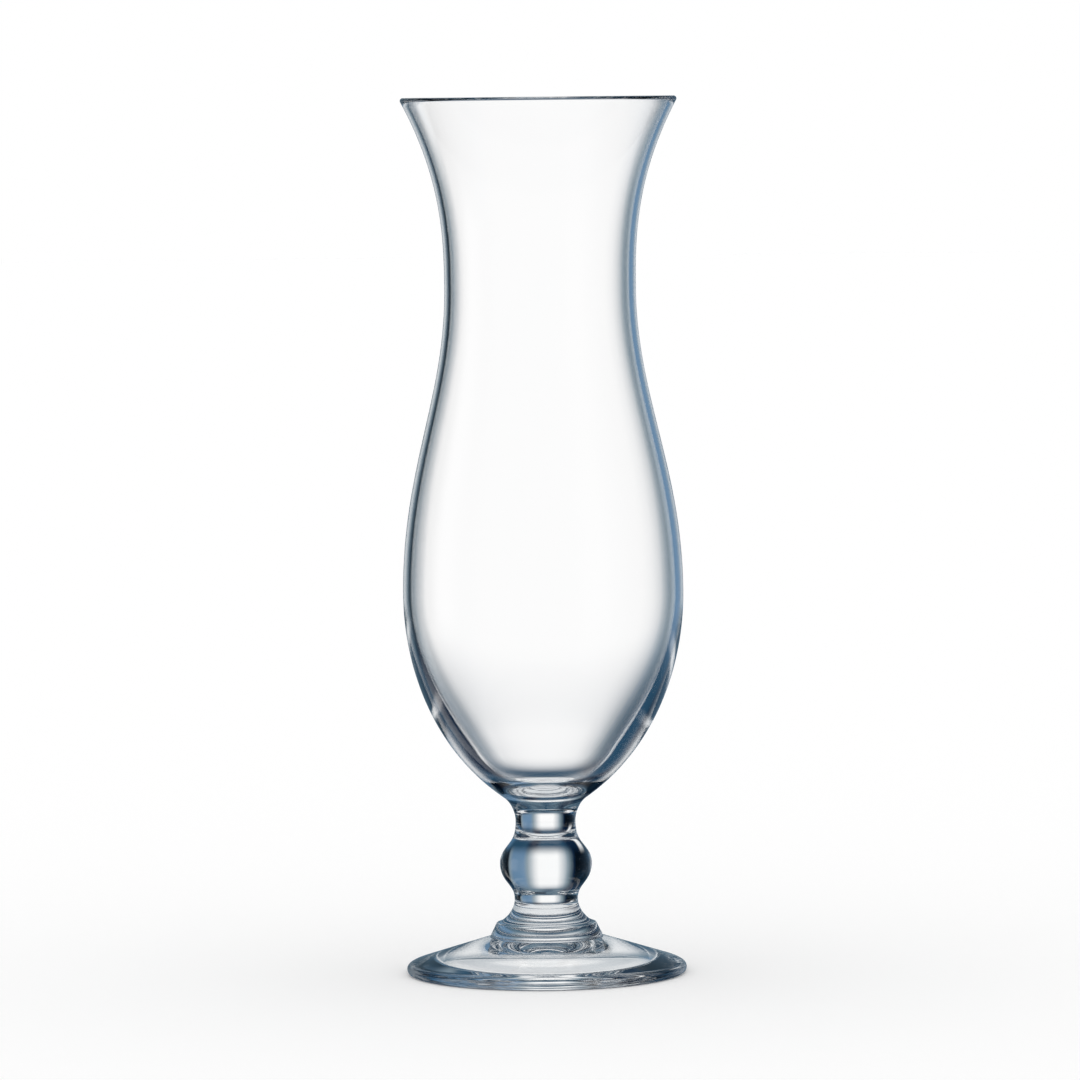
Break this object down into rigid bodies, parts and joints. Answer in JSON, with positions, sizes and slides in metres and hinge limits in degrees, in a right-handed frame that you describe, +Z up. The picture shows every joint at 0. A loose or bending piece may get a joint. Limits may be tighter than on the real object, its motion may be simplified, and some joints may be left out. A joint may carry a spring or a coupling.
{
  "type": "hurricane glass",
  "caption": "Tall clear cocktail glass with a round belly, narrow waist and flared rim, on a short stem with a ball knop and a stepped ring, above a wide sloping foot that is hollow below.",
  "frame": {"origin": "centre of the ring that the glass rests on, on the table's surface", "axes": "+Z up the axis of the glass, from the foot to the rim; the glass is round, so X and Y are free"},
  "size_m": [0.0752, 0.0752, 0.235],
  "materials": {
    "blown_glass": "clear soda-lime glass, blown thin, with a fire-polished rim",
    "pressed_glass": "clear soda-lime glass, pressed solid and fire-polished"
  },
  "bodies": {
    "root": {"foot": "pressed_glass", "merese": "pressed_glass", "lower_collar": "pressed_glass", "knop": "pressed_glass", "upper_collar": "pressed_glass", "bowl": "blown_glass"}
  },
  "joints": []
}
